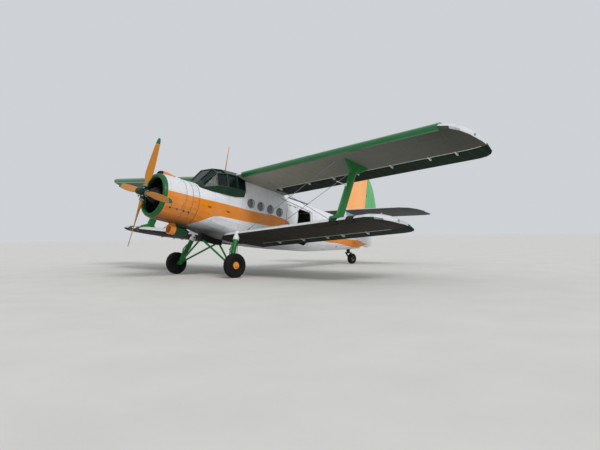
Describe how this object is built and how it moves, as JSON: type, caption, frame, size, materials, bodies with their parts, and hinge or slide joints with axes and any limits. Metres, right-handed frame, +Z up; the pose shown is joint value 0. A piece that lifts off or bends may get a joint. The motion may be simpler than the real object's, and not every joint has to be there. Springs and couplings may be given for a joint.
{
  "type": "single-engined radial biplane",
  "caption": "Utility biplane with a radial engine, strut-braced wings, an open side door, a glazed cockpit canopy and fixed tail-wheel gear.",
  "frame": {"origin": "on the ground, under the middle of the bounding box", "axes": "+X to the port wing tip, +Y aft along the ground, +Z up"},
  "size_m": [18.143, 12.7942, 4.6156],
  "materials": {
    "white_paint": "semi-gloss",
    "orange_paint": "semi-gloss",
    "pale_orange_paint": "satin",
    "green_paint": "semi-gloss",
    "pale_green_paint": "satin",
    "grey_metal": "satin",
    "dark_metal": "satin",
    "engine_metal": "matt",
    "steel_wire": "brushed",
    "black_rubber": "matt",
    "clear_glass": "clear",
    "ochre_paint": "satin"
  },
  "bodies": {
    "airframe": {"cabin_shell": "white_paint", "rear_fuselage": "white_paint", "canopy_frame": "green_paint", "canopy_glazing": "clear_glass", "cargo_door": "white_paint", "cabin_floor": "grey_metal", "cockpit_floor": "dark_metal", "cabin_glass_left": "clear_glass", "cabin_glass_right": "clear_glass", "upper_wing_left": "white_paint", "upper_wing_right": "white_paint", "slat_left": "green_paint", "slat_right": "green_paint", "lower_wing_left": "white_paint", "lower_wing_right": "white_paint", "interplane_strut_left": "green_paint", "interplane_strut_right": "green_paint", "bracing_wires_left": "steel_wire", "bracing_wires_right": "steel_wire", "fin": "pale_orange_paint", "tailplane_left": "white_paint", "tailplane_right": "white_paint", "tail_strut_left": "green_paint", "tail_strut_right": "green_paint", "cowl_lip": "green_paint", "cowl_panel_left": "orange_paint", "cowl_panel_right": "orange_paint", "cowl_flaps": "orange_paint", "engine_crankcase": "engine_metal", "engine_cylinders": "engine_metal", "exhaust_pipe": "dark_metal", "oil_cooler": "green_paint", "air_scoop": "orange_paint", "keel_bracket": "dark_metal", "main_leg_left": "green_paint", "main_leg_right": "green_paint", "tail_leg": "dark_metal", "aerial_mast": "ochre_paint"},
    "propeller": {"propeller_hub": "green_paint", "propeller_blade_1": "ochre_paint", "propeller_blade_2": "ochre_paint", "propeller_blade_3": "ochre_paint", "propeller_blade_4": "ochre_paint"},
    "main_wheel_left": {"tyre_left": "black_rubber", "wheel_hub_left": "orange_paint"},
    "main_wheel_right": {"tyre_right": "black_rubber", "wheel_hub_right": "orange_paint"},
    "tail_castor": {"tail_fork": "dark_metal"},
    "tail_wheel": {"tail_wheel": "black_rubber"},
    "rudder": {"rudder": "pale_green_paint"},
    "elevator_left": {"elevator_left": "green_paint"},
    "elevator_right": {"elevator_right": "green_paint"},
    "aileron_left": {"aileron_left": "green_paint"},
    "aileron_right": {"aileron_right": "green_paint"},
    "flap_upper_left": {"flap_upper_left": "green_paint"},
    "flap_upper_right": {"flap_upper_right": "green_paint"},
    "flap_lower_left": {"flap_lower_left": "green_paint"},
    "flap_lower_right": {"flap_lower_right": "green_paint"},
    "passenger_door": {"passenger_door": "white_paint"}
  },
  "joints": [
    {"name": "propeller_spin", "type": "hinge", "parent": "airframe", "child": "propeller", "pos_m": [0, -5.99422, 2.79154], "axis": [0, 0.9788, -0.205], "continuous": true},
    {"name": "main_wheel_left_spin", "type": "hinge", "parent": "airframe", "child": "main_wheel_left", "pos_m": [1.7, -3.74677, 0.4], "axis": [1, 0, 0], "continuous": true},
    {"name": "main_wheel_right_spin", "type": "hinge", "parent": "airframe", "child": "main_wheel_right", "pos_m": [-1.7, -3.74677, 0.4], "axis": [1, 0, 0], "continuous": true},
    {"name": "tail_castor_swivel", "type": "hinge", "parent": "airframe", "child": "tail_castor", "pos_m": [0, 4.19323, 0.235], "axis": [0, 0, 1], "range_deg": [-90, 90]},
    {"name": "tail_wheel_spin", "type": "hinge", "parent": "tail_castor", "child": "tail_wheel", "pos_m": [0, 4.44323, 0.235], "axis": [1, 0, 0], "continuous": true},
    {"name": "rudder_turn", "type": "hinge", "parent": "airframe", "child": "rudder", "pos_m": [0, 5.06286, 0.8025], "axis": [0, 0.205, 0.9788], "range_deg": [-28, 28]},
    {"name": "elevator_left_turn", "type": "hinge", "parent": "airframe", "child": "elevator_left", "pos_m": [0.26, 4.98363, 2.22904], "axis": [1, 0, 0], "range_deg": [-22.5, 42]},
    {"name": "elevator_right_turn", "type": "hinge", "parent": "airframe", "child": "elevator_right", "pos_m": [-0.26, 4.98363, 2.22904], "axis": [1, 0, 0], "range_deg": [-22.5, 42]},
    {"name": "aileron_left_turn", "type": "hinge", "parent": "airframe", "child": "aileron_left", "pos_m": [4.99542, -1.06008, 3.42107], "axis": [0.9973, 0.015, 0.0717], "range_deg": [-14, 30]},
    {"name": "aileron_right_turn", "type": "hinge", "parent": "airframe", "child": "aileron_right", "pos_m": [-4.99542, -1.06008, 3.42107], "axis": [-0.9973, 0.015, 0.0717], "range_deg": [-30, 14]},
    {"name": "flap_upper_left_down", "type": "hinge", "parent": "airframe", "child": "flap_upper_left", "pos_m": [0.95031, -1.12098, 3.13032], "axis": [-0.9973, -0.015, -0.0717], "range_deg": [0, 40]},
    {"name": "flap_upper_right_down", "type": "hinge", "parent": "airframe", "child": "flap_upper_right", "pos_m": [-0.95031, -1.12098, 3.13032], "axis": [-0.9973, 0.015, 0.0717], "range_deg": [0, 40]},
    {"name": "flap_lower_left_down", "type": "hinge", "parent": "airframe", "child": "flap_lower_left", "pos_m": [1.14594, -1.90231, 1.15531], "axis": [-0.9973, -0.015, -0.0717], "range_deg": [0, 40]},
    {"name": "flap_lower_right_down", "type": "hinge", "parent": "airframe", "child": "flap_lower_right", "pos_m": [-1.14594, -1.90231, 1.15531], "axis": [-0.9973, 0.015, 0.0717], "range_deg": [0, 40]},
    {"name": "passenger_door_swing", "type": "hinge", "parent": "airframe", "child": "passenger_door", "pos_m": [0.69, 0.01341, 1.5332], "axis": [0, 0.205, 0.9788], "range_deg": [-88, 0]}
  ],
  "couplings": [
    {"joint": "elevator_right_turn", "follows": "elevator_left_turn", "ratio": 1},
    {"joint": "flap_upper_right_down", "follows": "flap_upper_left_down", "ratio": 1},
    {"joint": "flap_lower_left_down", "follows": "flap_upper_left_down", "ratio": 1},
    {"joint": "flap_lower_right_down", "follows": "flap_upper_left_down", "ratio": 1}
  ]
}
